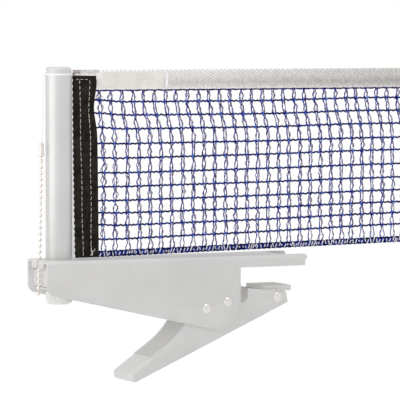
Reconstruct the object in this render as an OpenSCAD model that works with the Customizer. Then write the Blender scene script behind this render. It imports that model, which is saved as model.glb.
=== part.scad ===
// Table tennis net clamp. A sprung jaw clips onto the side edge of the table and carries a
// tubular post, the end of the net and the cord and ball chain that pull the net tight.
// Millimetres. X runs from the table's edge over the table, Y along that edge, Z up.
// Origin: contact face of the upper jaw, above the table's edge, in the net's middle plane.

/* [Clamp body] */
// From the post's axis to the open end of the channel
post_to_end = 17.5; // [16:0.5:24]
// Reach of the upper jaw over the table
jaw_reach = 57; // [52:1:70]
// Width over the two side plates
body_w = 41; // [38:0.5:48]
// Thickness of the pressed sheet
sheet = 2; // [1.5:0.1:2.4]
// Height of the side plates along the upper jaw
jaw_h = 9.1; // [8.5:0.1:12]
// Outer radius of the long bends
bend_r = 3; // [2.6:0.1:4]
// Depth of the side plates at the open end, corner taken sharp
end_depth = 24.8; // [23:0.1:30]
// Slope of the lower edge in degrees
under_angle = 12.9; // [11:0.1:15]
// Radius of the lobe below the throat
lobe_r = 20; // [16:0.5:22]
// Radius of the lower corner at the open end
end_corner_r = 7; // [4:0.5:9]
// Reach of the web over the table, past which the side plates stand as fingers
web_reach = 36; // [28:1:42]
// Radius of the nose on each finger
nose_r = 2.6; // [2:0.1:3.5]

/* [Table and jaw pads] */
// Thickness of the table held in the rest pose
table_t = 15; // [13:0.5:17]
// How far the liner stands below the side plates
liner_proud = 0.3; // [0.2:0.1:1]
// Distance of the liner's front end from the jaw tip
liner_setback = 4; // [3:0.5:8]
// Length of the lower pad
pad_l = 24; // [18:0.5:26]
// Thickness of the lower rubber pad
pad_t = 3; // [2:0.1:4]
// Thickness of the pad's pressed shoe
shoe_t = 1.5; // [1:0.1:2]
// Height of the pad's top above its pin
pad_rise = 9.1; // [8.6:0.1:11]
// From each end of the lower pad to the middle of its stud
stud_inset = 4.5; // [4:0.1:6]
// Width of the grooves in both pads
groove_w = 1.4; // [0.8:0.1:2]
// Depth of the grooves in both pads
groove_d = 0.7; // [0.4:0.1:1]

/* [Lever] */
// Distance of the lever's pivot behind the table's edge
pivot_back = 10.4; // [9.5:0.1:12]
// Depth of the pivot below the table's surface
pivot_drop = 26.1; // [25:0.1:28]
// Distance of the anchor pin behind the pivot
anchor_back = 17.8; // [16:0.1:20]
// Depth of the anchor pin below the pivot
anchor_drop = 4.7; // [3:0.1:6]
// Reach of the pad's pin over the table
pad_pin_reach = 33.4; // [30:0.1:36]
// Side gap between the lever and each side plate
lever_gap = 0.8; // [0.6:0.1:1.2]
// From the pivot back to the centre of the handle's nose
handle_back = 77.2; // [70:0.1:90]
// From the pivot down to the centre of the handle's nose
handle_drop = 54.8; // [50:0.1:60]
// Radius of the handle's nose
handle_nose_r = 4; // [3:0.1:5]
// Slope of the handle's top in degrees
handle_angle = 34.6; // [32:0.1:38]
// Length of the straight part of the handle's top
handle_straight = 33.8; // [28:0.1:38]
// Radius of the curve between the handle and the body
handle_curve_r = 67; // [60:1:75]
// Radius of the notch in the lever's jaw
notch_r = 5.7; // [5:0.1:6.4]
// Reach of the notch's centre over the table
notch_reach = 2; // [1:0.1:3]
// Depth of the notch's centre below the table
notch_drop = 6.4; // [6:0.1:8]
// Length of the handle's web
handle_web = 19.5; // [15:0.5:28]
// Radius of the handle's corners seen from above
handle_corner_r = 5; // [3:0.5:8]
// Travel that opens the jaw, in degrees
open_angle = 25; // [20:1:25]
// Travel that closes the jaw, in degrees
close_angle = 10; // [5:1:10]

/* [Pins and spring] */
// Diameter of the riveted pins
pin_d = 5; // [4:0.1:5.6]
// Diameter of the rivet heads
head_d = 7.4; // [6.6:0.1:9]
// Height of the rivet heads
head_h = 1.5; // [1:0.1:2]
// Radial running clearance on the pins
run = 0.05; // [0.02:0.01:0.1]
// Outer diameter of the sleeve that centres the spring
sleeve_d = 9; // [8:0.1:9.6]
// Outer diameter of the pivot washers
washer_d = 12; // [10:0.5:15]
// Diameter of the spring wire
wire_d = 1.6; // [1.2:0.1:1.8]
// Mean diameter of the spring coils
coil_d = 12.4; // [12:0.1:13.5]
// Turns in each of the two coils
coil_turns = 3; // [2:1:3]
// Rise of the coil per turn
coil_pitch = 2.2; // [2.2:0.05:2.5]
// Half the width of the spring's bow
bow_half = 5.6; // [4.5:0.1:6]

/* [Post] */
// Distance of the post's axis from the table's edge
post_back = 142.5; // [138:0.5:142.5]
// Outer diameter of the post
post_d = 20; // [18:0.1:21]
// Wall of the post
post_wall = 1.6; // [1.2:0.1:2]
// Width of the slot that holds the net's welt
slot_w = 3; // [2.4:0.1:4]
// Height adjustment of the post
post_travel = 6; // [3:0.5:6]
// Diameter of the cap
cap_d = 19.4; // [18:0.1:20]
// Height of the cap over its ring
cap_h = 5; // [4.6:0.1:7]
// Height of the ring below the cap
ring_h = 1.4; // [1:0.1:2]
// Radius of the cap's edge
cap_edge_r = 2.6; // [1.5:0.1:3]

/* [Height screw] */
// Diameter of the knurled knob
knob_d = 20.2; // [17:0.1:24]
// Height of the knob
knob_h = 9.6; // [8:0.1:12]
// Radius of the knob's lower edge
knob_edge_r = 3.5; // [2:0.1:4]
// Number of knurls
knurls = 44; // [30:1:60]
// Depth of the knurls
knurl_depth = 0.6; // [0.3:0.05:0.8]
// Diameter of the spindle
spindle_d = 6; // [5:0.1:7]
// Thickness of the bracket that carries the spindle
bracket_t = 1.6; // [1.2:0.1:2]

/* [Net] */
// Height of the net above the table
net_top = 152.5; // [150:0.5:155]
// Length of net from the post's face to the free end
net_run = 290.5; // [285:0.5:310]
// Height of the head tape
tape_h = 15; // [12:0.5:15]
// Thickness of the head tape's flat part
tape_t = 1.6; // [1.2:0.1:2]
// Diameter of the head tape's rolled edge
tape_roll_d = 4; // [3.6:0.1:5]
// Width of the sleeve that sews the net to its welt
sleeve_w = 19; // [16:0.5:24]
// Thickness of the sleeve
sleeve_t = 2.8; // [2:0.1:4]
// Visible width of the welt between post and sleeve
welt_w = 2.1; // [1.6:0.1:3]
// Diameter of the welt's core
welt_d = 5.2; // [4:0.1:6]
// Thickness of the welt's flag
flag_t = 1.4; // [1:0.1:2]
// Meshes along the net in this model
mesh_cols = 25; // [10:1:25]
// Meshes down the net
mesh_rows = 12; // [8:1:12]
// Width of the twine
twine = 1.1; // [0.8:0.1:1.6]
// Thickness of the mesh
mesh_t = 1; // [0.8:0.1:1.6]
// Height of the hem
hem_h = 4; // [3:0.1:5]
// Rise of the hem towards the free end
hem_rise = 4.6; // [0:0.1:8]
// Clearance between the hem and the body
hem_clear = 0.8; // [0.5:0.1:2]
// Sideways lean of the upper meshes
mesh_lean = 5.4; // [0:0.1:7]
// Sag of the middle strings
mesh_sag = 2.2; // [0:0.1:4]
// Length of the blank patch on the head tape
patch_l = 55; // [40:1:70]
// Thickness of the patch
patch_t = 0.3; // [0.2:0.05:0.5]

/* [Cord and chain] */
// Diameter of the head cord
cord_d = 1.6; // [1.2:0.1:1.8]
// Diameter of a chain ball
ball_d = 3; // [2.6:0.1:3.2]
// Distance between the balls
ball_pitch = 4.56; // [4.4:0.02:5]
// Diameter of the wire between the balls
link_d = 0.9; // [0.7:0.1:1]
// Balls above the notch
balls_above = 18; // [10:1:18]
// Balls from the notch down
balls_below = 5; // [2:1:8]
// Thickness of the hook that locks the chain
hook_t = 1.2; // [1:0.1:1.3]
// Depth of the hook, from the body's end to its riser
hook_depth = 4; // [3.8:0.1:5]

/* [Hidden] */
$fn = 64;

body_reach = post_back + post_to_end;
shell_grey = [0.80, 0.80, 0.79];
metal_grey = [0.88, 0.88, 0.87];
post_grey = [0.86, 0.86, 0.85];
rubber_grey = [0.62, 0.62, 0.61];
slack = 0.1;                    // gap between faces that slide on each other
soft_gap = 0.3;                 // gap kept round soft pieces

// Body
top_z = liner_proud + jaw_h;
web_z = top_z - sheet;
in_w = body_w - 2 * sheet;
end_z = top_z - end_depth;
function under_z(x) = end_z - (x + body_reach) * tan(under_angle);
lobe_c = [-lobe_r, under_z(-lobe_r) + lobe_r / cos(under_angle)];
nose_hook = 70;                 // how far the nose curls under itself
corner_x = -body_reach + end_corner_r;
corner_c = [corner_x, under_z(corner_x) + end_corner_r / cos(under_angle)];

// Lever
pivot = [-pivot_back, -pivot_drop];
anchor = pivot - [anchor_back, anchor_drop];
pad_pin_at = [pad_pin_reach, -table_t - pad_rise];
lever_w = in_w - 2 * lever_gap;
lever_in = lever_w - 2 * sheet;
jaw_top = -table_t - 1.4;
jaw_edge = 0.8 * pin_d;          // plate left round the pad's pin
jaw_end = pad_pin_reach + 1.6 * pin_d;
notch_c = [notch_reach, -table_t - notch_drop];
boss_r = 9;
slot_r = norm(anchor - pivot);
slot_a = atan2(anchor[1] - pivot[1], anchor[0] - pivot[0]);
nose_c = pivot - [handle_back, handle_drop];
along = [cos(handle_angle), sin(handle_angle)];
out = [-sin(handle_angle), cos(handle_angle)];
top_start = nose_c + handle_nose_r * out;
top_end = top_start + handle_straight * along;
curve_c = top_end + handle_curve_r * out;
curve_end = 58;
jaw_low = [jaw_end, pad_pin_at[1] - jaw_edge];
low_angle = atan2(jaw_low[1] - nose_c[1] + handle_nose_r, jaw_low[0] - nose_c[0]);
nose_low = nose_c + handle_nose_r * [sin(low_angle), -cos(low_angle)];

// Post, screw and foot
post_x = -post_back;
post_r = post_d / 2;
bore_r = post_r - post_wall;
post_top = net_top - 3.8;
foot_top = web_z - post_travel - 0.4;
foot_end = -body_reach + hook_depth;
foot_front = post_x + post_r + 3.5;
foot_w = in_w - 2 * slack;
foot_floor = 2;
clip_t = 0.8;
washer_t = 0.8;
foot_h = 11.7;
foot_low = foot_top - foot_h;
clip_top = foot_low - 0.7;
bracket_top = clip_top - clip_t - slack;
bracket_low = bracket_top - bracket_t;
washer_low = bracket_low - washer_t - slack / 2;
knob_top = washer_low - slack / 2;
plug_top = 6;
spindle_top = 5;
lip_d = 6.2;
hook_w = 24;
hook_leg = 1.2;

// Net
sleeve_x = post_x + post_r + welt_w;
mesh_x = sleeve_x + sleeve_w;
net_end = post_x + post_r + net_run;
tape_low = net_top - tape_h;
sleeve_top = net_top - 4.3;
hem_low = top_z + hem_clear;
hem_top = hem_low + hem_h;
roll_c = net_top - tape_roll_d / 2;
tunnel_r = cord_d / 2 + 0.15;
cord_z = roll_c + 0.5;

// Chain and cord
chain_x = -body_reach + 1.6;
locked_z = top_z - hook_t - slack - ball_d / 2;
chain_lean = 1.6;               // the chain's top end stands nearer the post
top_ball = [chain_x + chain_lean, locked_z + (balls_above - 1) * ball_pitch];
top_link = 2;

function ease(t) = let (c = min(max(t, 0), 1)) c * c * (3 - 2 * c);
function arc(c, r, a0, a1, n) = [for (i = [0 : n])
    let (a = a0 + (a1 - a0) * i / n) c + r * [cos(a), sin(a)]];

// An upright outline in X and Z, w thick across Y
module across(w) rotate([90, 0, 0]) translate([0, 0, -w / 2]) linear_extrude(w) children();

// A round bar along Y
module bar_y(at, d, w) translate([at[0], 0, at[1]]) rotate([90, 0, 0])
    cylinder(d = d, h = w, center = true);

// A pin along Y, headed over on the outside of plates that are w apart
module riveted_pin(at, w) {
    dome_r = (pow(head_d / 2, 2) + head_h * head_h) / (2 * head_h);
    bar_y(at, pin_d, w);
    for (side = [-1, 1]) translate([at[0], side * w / 2, at[1]]) rotate([-90 * side, 0, 0])
        intersection() {
            cylinder(d = head_d, h = head_h);
            translate([0, 0, head_h - dome_r]) sphere(dome_r);
        }
}

// A tube of radius r swept along points, with a given number of sides
function unit(v) = v / norm(v);
function tangent(p, i) = unit(p[min(i + 1, len(p) - 1)] - p[max(i - 1, 0)]);
function carried(p, i, n) = let (t = tangent(p, i)) unit(n - (n * t) * t);
function frames(p, i, n) = i == len(p) ? [] : let (m = carried(p, i, n)) concat([m], frames(p, i + 1, m));
module swept(p, r, sides, up) {
    n = frames(p, 0, up);
    rings = [for (i = [0 : len(p) - 1]) let (b = cross(tangent(p, i), n[i]))
             for (k = [0 : sides - 1]) let (a = 360 * k / sides)
             p[i] + r * (cos(a) * n[i] + sin(a) * b)];
    walls = [for (i = [0 : len(p) - 2]) for (k = [0 : sides - 1])
             let (a = i * sides + k, b = i * sides + (k + 1) % sides)
             for (f = [[a, a + sides, b], [b, a + sides, b + sides]]) f];
    last = (len(p) - 1) * sides;
    ends = [for (k = [1 : sides - 2]) for (f = [[0, k, k + 1], [last, last + k + 1, last + k]]) f];
    polyhedron(rings, concat(walls, ends));
}

// ---- clamp body ----

module side_outline() {
    nose_c = [jaw_reach - nose_r, top_z - nose_r];
    tip = nose_c[0] + nose_r * cos(nose_hook);
    polygon(concat([[-body_reach, top_z]],
        arc(nose_c, nose_r, 90, -nose_hook, 10),
        [[tip, liner_proud], [0, liner_proud]],
        arc(lobe_c, lobe_r, 0, -90 - under_angle, 24),
        arc(corner_c, end_corner_r, -90 - under_angle, -180, 8)));
}

module channel_half(w, z, r) {
    low = -100;
    translate([-w / 2, low]) square([w, z - r - low]);
    translate([r - w / 2, low]) square([w - 2 * r, z - low]);
    for (side = [-1, 1]) translate([side * (w / 2 - r), z - r]) circle(r);
}

module clamp_body() color(shell_grey) difference() {
    intersection() {
        across(body_w) side_outline();
        translate([-body_reach - 1, 0, 0]) rotate([90, 0, 90])
            linear_extrude(body_reach + jaw_reach + 2) difference() {
                channel_half(body_w, top_z, bend_r);
                channel_half(in_w, web_z, bend_r - sheet);
            }
    }
    // open space between the fingers, with rounded inner corners
    translate([0, 0, web_z - 1]) linear_extrude(sheet + 2) {
        corner = 6;
        translate([web_reach + corner, -in_w / 2]) square([jaw_reach, in_w]);
        translate([web_reach, corner - in_w / 2]) square([2 * corner, in_w - 2 * corner]);
        for (side = [-1, 1]) translate([web_reach + corner, side * (in_w / 2 - corner)]) circle(corner);
    }
    // cut-out for the chain hook
    translate([-body_reach - 1, -hook_w / 2 - soft_gap, web_z - 1])
        cube([foot_end + hook_leg + soft_gap + body_reach + 1, hook_w + 2 * soft_gap, sheet + 2]);
    translate([post_x, 0, web_z - 1]) cylinder(r = post_r + slack, h = sheet + 2);
    bar_y(pivot, pin_d, body_w + 1);
    bar_y(anchor, pin_d, body_w + 1);
}

module grooves(x0, x1, w, z, count) {
    step = (x1 - x0) / count;
    for (i = [0 : count - 1]) translate([x0 + (i + 0.5) * step, 0, z])
        cube([groove_w, w + 1, 2 * groove_d], center = true);
}

module upper_liner() color(rubber_grey) difference() {
    front = jaw_reach - liner_setback;
    back = 2;
    translate([-back, -in_w / 2, 0]) cube([front + back, in_w, web_z]);
    for (side = [-1, 1]) translate([0, side * in_w / 2, web_z]) rotate([45, 0, 0])
        cube([3 * front, 1.4, 1.4], center = true);
    grooves(front / 8, front, in_w, 0, 7);
    // hollow above the fingers' part, so that only the sole and two ribs stand there
    translate([web_reach + 3, -in_w / 2 + 4, 3]) cube([front - web_reach - 6, in_w - 8, web_z]);
}

module pivot_pin() color(metal_grey) riveted_pin(pivot, body_w);

module anchor_pin() color(metal_grey) riveted_pin(anchor, body_w);

module pivot_washers() color(metal_grey)
    for (side = [-1, 1]) translate([pivot[0], side * (in_w - lever_gap + slack) / 2, pivot[1]])
        rotate([90, 0, 0]) difference() {
            cylinder(d = washer_d, h = lever_gap - slack, center = true);
            cylinder(d = pin_d, h = 2, center = true);
        }

module spacer_sleeve() color(metal_grey) translate([pivot[0], 0, pivot[1]]) rotate([90, 0, 0])
    difference() {
        cylinder(d = sleeve_d, h = lever_in - 4 * slack, center = true);
        cylinder(d = pin_d, h = lever_in, center = true);
    }

// ---- spring: one wire, from the anchor pin round a coil, under the pad's pin and back ----

coil_r = coil_d / 2;
leg_z = anchor[1] - (pin_d + wire_d) / 2 - slack;
bow_z = pad_pin_at[1] - (pin_d + wire_d) / 2 - slack;
coil_rings = 8;
function coil_point(i) = let (a = 360 * i / coil_rings - 90)
    [pivot[0] + coil_r * cos(a), -bow_half - coil_turns * coil_pitch + coil_pitch * i / coil_rings,
     pivot[1] + coil_r * sin(a)];
coil_points = [for (i = [0 : coil_rings * coil_turns]) coil_point(i)];
leg_y = coil_points[0][1];
half_spring = concat(
    [[anchor[0] - 5.5, leg_y, leg_z + 1.2], [anchor[0] - 3.5, leg_y, leg_z + 0.2],
     [anchor[0], leg_y, leg_z],
     [(anchor[0] + pivot[0]) / 2, leg_y, (leg_z + pivot[1] - coil_r) / 2 - 0.3]],
    coil_points,
    [[pivot[0] + 8, -bow_half, (bow_z - pivot[1] + coil_r) * 0.16 + pivot[1] - coil_r],
     [(pivot[0] + pad_pin_reach) / 2, -bow_half, (bow_z + pivot[1] - coil_r) / 2],
     [pad_pin_reach - 3, -bow_half, bow_z],
     [pad_pin_reach - 0.9, -bow_half + 0.9, bow_z],
     [pad_pin_reach, -bow_half + 3, bow_z]]);
spring_path = concat(half_spring, [for (i = [len(half_spring) - 1 : -1 : 0])
    [half_spring[i][0], -half_spring[i][1], half_spring[i][2]]]);
// pairs close along the wire are neighbours, not a gap
spring_gap = min([for (i = [0 : len(spring_path) - 1]) for (j = [i + 5 : 1 : len(spring_path) - 1])
    norm(spring_path[i] - spring_path[j])]) - wire_d;
echo(least_gap_in_the_spring = spring_gap);  // jaw_spring

module jaw_spring() color(metal_grey) swept(spring_path, wire_d / 2, 6, [0, 0, 1]);

// ---- lever and pad ----

module lever_outline() difference() {
    union() {
        polygon(concat(
            [jaw_low, [jaw_end - 1, jaw_low[1] + 2 * jaw_edge], [notch_c[0] + notch_r, jaw_top],
             [pivot[0] + boss_r - 2, jaw_top], pivot + [0, boss_r],
             pivot + [-2 * boss_r, boss_r - 0.5], pivot + [-3 * boss_r, 0.5]],
            arc(curve_c, handle_curve_r, curve_end - 90, handle_angle - 90, 8),
            [top_start, nose_c, nose_low]));
        translate(pivot) circle(boss_r);
        translate(nose_c) circle(handle_nose_r);
    }
    translate(notch_c) circle(notch_r);
    translate(notch_c - [notch_r, 0]) square([2 * notch_r, 4 * notch_r]);
    translate(pivot) circle(d = pin_d + 2 * run);
    translate(pad_pin_at) circle(d = pin_d);
    anchor_slot();
}

// Slot in which the lever swings past the anchor pin
module anchor_slot() {
    half = pin_d / 2 + 0.3;
    a0 = slot_a - close_angle - 1;
    a1 = slot_a + open_angle + 1;
    far = 2 * slot_r;
    translate(pivot) {
        intersection() {
            difference() { circle(slot_r + half); circle(slot_r - half); }
            polygon([[0, 0], far * [cos(a0), sin(a0)], far * [cos((a0 + a1) / 2), sin((a0 + a1) / 2)],
                     far * [cos(a1), sin(a1)]]);
        }
        for (a = [a0, a1]) translate(slot_r * [cos(a), sin(a)]) circle(half);
    }
}

module web_outline() {
    web_top = top_start + handle_web * along;
    polygon([top_start, web_top, web_top - sheet * out, top_start - sheet * out]);
    difference() {
        translate(nose_c) circle(handle_nose_r);
        translate(nose_c) circle(handle_nose_r - sheet);
        translate(nose_c) rotate(handle_angle) square(5 * handle_nose_r);
        translate(nose_c) rotate(low_angle - 90) square(5 * handle_nose_r);
    }
}

module lever() color(shell_grey) difference() {
    depth = 2 * (pivot_drop + handle_drop);
    union() {
        for (side = [-1, 1]) translate([0, side * (lever_w - sheet) / 2, 0])
            across(sheet) lever_outline();
        across(lever_w) web_outline();
    }
    // long bends between the web and the side plates
    for (side = [-1, 1]) translate([nose_c[0], 0, nose_c[1]]) rotate([0, -handle_angle, 0])
        translate([-2 * handle_nose_r, side * (lever_w / 2 - bend_r), handle_nose_r - bend_r])
            difference() {
                translate([0, side > 0 ? 0 : -2 * bend_r, 0])
                    cube([2 * handle_nose_r + handle_web, 2 * bend_r, 2 * bend_r]);
                rotate([0, 90, 0]) cylinder(r = bend_r, h = 2 * handle_nose_r + handle_web);
            }
    // corners of the handle seen from above
    corner_at = [nose_c[0] - handle_nose_r + handle_corner_r, lever_w / 2 - handle_corner_r];
    for (side = [-1, 1]) translate([corner_at[0], side * corner_at[1], 0])
        difference() {
            translate([-2 * handle_corner_r, side > 0 ? 0 : -2 * handle_corner_r, -depth])
                cube([2 * handle_corner_r, 2 * handle_corner_r, depth]);
            translate([0, 0, -depth - 1]) cylinder(r = handle_corner_r, h = depth + 2);
        }
}

module pad_pin() color(metal_grey) riveted_pin(pad_pin_at, lever_w);

pad_w = lever_in - 2 * soft_gap;
stud_x = pad_l / 2 - stud_inset;
stud_d = 4;

module pad_shoe() color(metal_grey) translate([pad_pin_at[0], 0, pad_pin_at[1]]) difference() {
    ear_r = 5;
    plate_z = pad_rise - pad_t - shoe_t;
    union() {
        translate([-pad_l / 2, -pad_w / 2, plate_z]) cube([pad_l, pad_w, shoe_t]);
        for (side = [-1, 1]) translate([0, side * (pad_w - shoe_t) / 2, 0]) across(shoe_t) {
            circle(ear_r);
            polygon([[-ear_r, 0], [ear_r, 0], [ear_r + 2, plate_z + shoe_t],
                     [-ear_r - 2, plate_z + shoe_t]]);
        }
    }
    bar_y([0, 0], pin_d + 2 * run, pad_w + 1);
    for (x = [-stud_x, stud_x]) translate([x, 0, plate_z - 1]) cylinder(d = stud_d, h = shoe_t + 2);
}

module lower_pad() color(rubber_grey) translate([pad_pin_at[0], 0, pad_pin_at[1]]) difference() {
    union() {
        translate([-pad_l / 2, -pad_w / 2, pad_rise - pad_t]) cube([pad_l, pad_w, pad_t]);
        // studs pushed through the shoe and held by their heads
        for (x = [-stud_x, stud_x]) translate([x, 0, pad_rise - pad_t - shoe_t - 0.8]) {
            cylinder(d = stud_d, h = shoe_t + 1.8);
            cylinder(d = stud_d + 1.4, h = 0.8);
        }
    }
    grooves(-pad_l / 2 + 1, pad_l / 2 - 1, pad_w, pad_rise, 4);
}

// ---- height screw ----

module spindle_bracket() color(metal_grey) difference() {
    ear_h = 3.4;
    half = 9.5;
    union() {
        translate([post_x - half, -in_w / 2, bracket_low]) cube([2 * half, in_w, bracket_t]);
        for (y = [-in_w / 2, in_w / 2 - bracket_t]) translate([post_x - half + 2, y, bracket_low - ear_h])
            cube([2 * half - 4, bracket_t, ear_h + bracket_t / 2]);
    }
    translate([post_x, 0, bracket_low - 1]) cylinder(d = spindle_d + 2 * run, h = bracket_t + 2);
}

module thrust_washer() color(rubber_grey) translate([post_x, 0, washer_low]) difference() {
    cylinder(d = 2.4 * spindle_d, h = washer_t);
    translate([0, 0, -1]) cylinder(d = spindle_d + 2 * run, h = washer_t + 2);
}

module knob() color(metal_grey) translate([post_x, 0, knob_top - knob_h]) difference() {
    intersection() {
        rotate_extrude() {
            square([knob_d / 2 - knob_edge_r, knob_h]);
            translate([0, knob_edge_r]) square([knob_d / 2, knob_h - knob_edge_r]);
            translate([knob_d / 2 - knob_edge_r, knob_edge_r]) circle(knob_edge_r);
        }
        linear_extrude(knob_h) polygon([for (i = [0 : 2 * knurls - 1])
            let (r = knob_d / 2 + 0.05 - (i % 2) * knurl_depth, a = 180 * i / knurls)
            r * [cos(a), sin(a)]]);
    }
    translate([0, 0, 1]) cylinder(d = spindle_d, h = knob_h);
    // dished end
    translate([0, 0, -1]) cylinder(d = knob_d - 2 * knob_edge_r - 2, h = 1.5);
}

module spindle() color(metal_grey) translate([post_x, 0, 0]) difference() {
    union() {
        low = knob_top - knob_h + 1;
        translate([0, 0, low]) cylinder(d = spindle_d, h = spindle_top - low);
    }
    // chamfered end
    translate([0, 0, spindle_top - 1]) difference() {
        cylinder(d = spindle_d + 1, h = 2);
        cylinder(d1 = spindle_d, d2 = spindle_d - 4, h = 2);
    }
    translate([0, 0, clip_top - clip_t]) difference() {
        cylinder(d = spindle_d + 1, h = clip_t);
        cylinder(d = spindle_d - 1.2, h = clip_t);
    }
}

module spindle_clip() color(metal_grey) translate([post_x, 0, clip_top - clip_t]) difference() {
    cylinder(d = 1.8 * spindle_d, h = clip_t);
    translate([0, 0, -1]) cylinder(d = spindle_d - 1.2, h = clip_t + 2);
    translate([0, -spindle_d / 2 + 0.8, -1]) cube([spindle_d, spindle_d - 1.6, clip_t + 2]);
}

// ---- foot, post and cap ----

screw_z = foot_low + 0.55 * foot_h;
screw_d = 3;
screw_head_d = 5.4;
screw_head_h = 2;

module foot_screw_bores(d, head) {
    tip = spindle_d / 2 + 1;
    seat = foot_w / 2 - screw_head_h - slack;
    for (side = [-1, 1]) translate([post_x, 0, screw_z]) rotate([-90 * side, 0, 0]) {
        translate([0, 0, tip]) cylinder(d = d, h = seat - tip);
        translate([0, 0, seat]) cylinder(d = screw_head_d, h = head);
    }
}

module foot_block() color(shell_grey) difference() {
    union() {
        translate([foot_end, -foot_w / 2, foot_low]) cube([foot_front - foot_end, foot_w, foot_h]);
        // riser, flange and lip that carry the chain
        translate([foot_end, -hook_w / 2, foot_top - 1]) cube([hook_leg, hook_w, top_z - foot_top + 1]);
        translate([-body_reach, -hook_w / 2, top_z - hook_t])
            cube([foot_end + body_reach + hook_leg, hook_w, hook_t]);
        translate([-body_reach, 0, 0]) rotate([90, 0, 90]) linear_extrude(hook_t) {
            lip_r = 3;
            translate([-hook_w / 2, top_z - lip_d + lip_r]) square([hook_w, lip_d - lip_r]);
            translate([-hook_w / 2 + lip_r, top_z - lip_d]) square([hook_w - 2 * lip_r, lip_d]);
            for (side = [-1, 1]) translate([side * (hook_w / 2 - lip_r), top_z - lip_d + lip_r])
                circle(lip_r);
        }
    }
    translate([post_x, 0, foot_low + foot_floor]) cylinder(r = post_r, h = foot_h);
    translate([post_x, 0, foot_low - 1]) cylinder(d = spindle_d + 1, h = foot_h);
    foot_screw_bores(screw_d, screw_head_h + 2 * slack + 1);
    // narrow notch through the flange, wide one through the lip
    translate([-body_reach - 1, -link_d / 2 - 0.25, top_z - hook_t - 1])
        cube([chain_x + body_reach + 1, link_d + 0.5, hook_t + 2]);
    translate([chain_x, 0, top_z - hook_t - 1]) cylinder(d = link_d + 0.5, h = hook_t + 2);
    translate([-body_reach - 1, -ball_d / 2 - 0.3, top_z - lip_d - 1])
        cube([hook_t + 1.5, ball_d + 0.6, lip_d + 1 - hook_t]);
    // chamfered corners at the foot's front
    for (side = [-1, 1]) translate([foot_front, side * foot_w / 2, foot_low - 1])
        rotate([0, 0, 45]) cube([4, 4, 3 * foot_h], center = true);
}

module post_tube() color(post_grey) translate([post_x, 0, foot_low + foot_floor]) difference() {
    h = post_top - foot_low - foot_floor;
    cylinder(r = post_r, h = h);
    translate([0, 0, -1]) cylinder(r = bore_r, h = h + 2);
    translate([0, -slot_w / 2, -1]) cube([post_d, slot_w, h + 2]);
    translate([0, 0, screw_z - foot_low - foot_floor]) rotate([90, 0, 0])
        cylinder(d = screw_d, h = 2 * post_d, center = true);
}

module post_plug() color(metal_grey) difference() {
    translate([post_x, 0, foot_low + foot_floor])
        cylinder(r = bore_r, h = plug_top - foot_low - foot_floor);
    translate([post_x, 0, foot_low]) cylinder(d = spindle_d + 2 * run, h = foot_h + plug_top + 20);
    foot_screw_bores(screw_d, 1);
}

module foot_screws() color(metal_grey) foot_screw_bores(screw_d, screw_head_h);

module cord_groove(z) translate([-body_reach, -cord_d / 2 - 0.3, z])
    cube([body_reach + sleeve_x + 5, cord_d + 0.6, 20]);

module cap_ring() color([0.95, 0.95, 0.95]) translate([post_x, 0, post_top]) difference() {
    cylinder(d = post_d, h = ring_h);
    translate([0, 0, -1]) cylinder(r = bore_r - slack, h = ring_h + 2);
}

module post_cap() color(post_grey) difference() {
    spigot = 10;
    translate([post_x, 0, post_top + ring_h]) union() {
        rotate_extrude() {
            square([cap_d / 2 - cap_edge_r, cap_h]);
            square([cap_d / 2, cap_h - cap_edge_r]);
            translate([cap_d / 2 - cap_edge_r, cap_h - cap_edge_r]) circle(cap_edge_r);
        }
        translate([0, 0, -ring_h - spigot]) cylinder(r = bore_r - slack, h = spigot + ring_h + 1);
    }
    cord_groove(post_top + ring_h + 0.8);
    // room for the welt in the post
    translate([post_x + bore_r - welt_d - 2, -post_r, post_top - spigot - 1])
        cube([post_d, post_d, spigot + 1]);
}

// ---- net ----

// Right edge of the sleeve: it draws in below the head tape and flares towards its foot
function sleeve_edge(z) = mesh_x + 1.2 - 0.01 * z - 2.6 * exp(-pow((z - net_top + 29) / 13, 2));
sleeve_steps = 20;
sleeve_z = [for (i = [0 : sleeve_steps]) hem_low + (sleeve_top - hem_low) * i / sleeve_steps];

module net_welt() color([0.93, 0.93, 0.92]) {
    core_x = post_x + bore_r - 0.15 - welt_d / 2;
    translate([core_x, 0, hem_low]) cylinder(d = welt_d, h = sleeve_top - hem_low);
    translate([core_x, -flag_t / 2, hem_low]) cube([sleeve_x - core_x, flag_t, sleeve_top - hem_low]);
}

module net_sleeve() color([0.13, 0.12, 0.11]) across(sleeve_t)
    polygon(concat([[sleeve_x, sleeve_top], [sleeve_x, hem_low]],
        [for (z = sleeve_z) [sleeve_edge(z), z]]));

// The tape is folded over the cord; below the fold it is flat
module head_tape() color([0.80, 0.79, 0.77]) difference() {
    translate([sleeve_x, 0, 0]) rotate([90, 0, 90]) linear_extrude(net_end - sleeve_x) difference() {
        union() {
            translate([0, roll_c]) circle(d = tape_roll_d);
            translate([-tape_t / 2, tape_low]) square([tape_t, roll_c - tape_low]);
        }
        translate([0, cord_z]) circle(tunnel_r);
    }
    // the sleeve covers the tape's end up to its top strip
    across(3 * tape_roll_d) polygon(concat([[sleeve_x - 1, sleeve_top], [sleeve_x - 1, tape_low - 1]],
        [for (z = sleeve_z) if (z > tape_low - 8) [sleeve_edge(z), z]]));
}

module tape_patch() color([0.88, 0.88, 0.87])
    translate([mesh_x + 4 + patch_l / 2, -(tape_t + patch_t) / 2, tape_low + 0.4 * tape_h])
        cube([patch_l, patch_t, 0.66 * tape_h], center = true);

rows_h = tape_low - hem_top;
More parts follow.
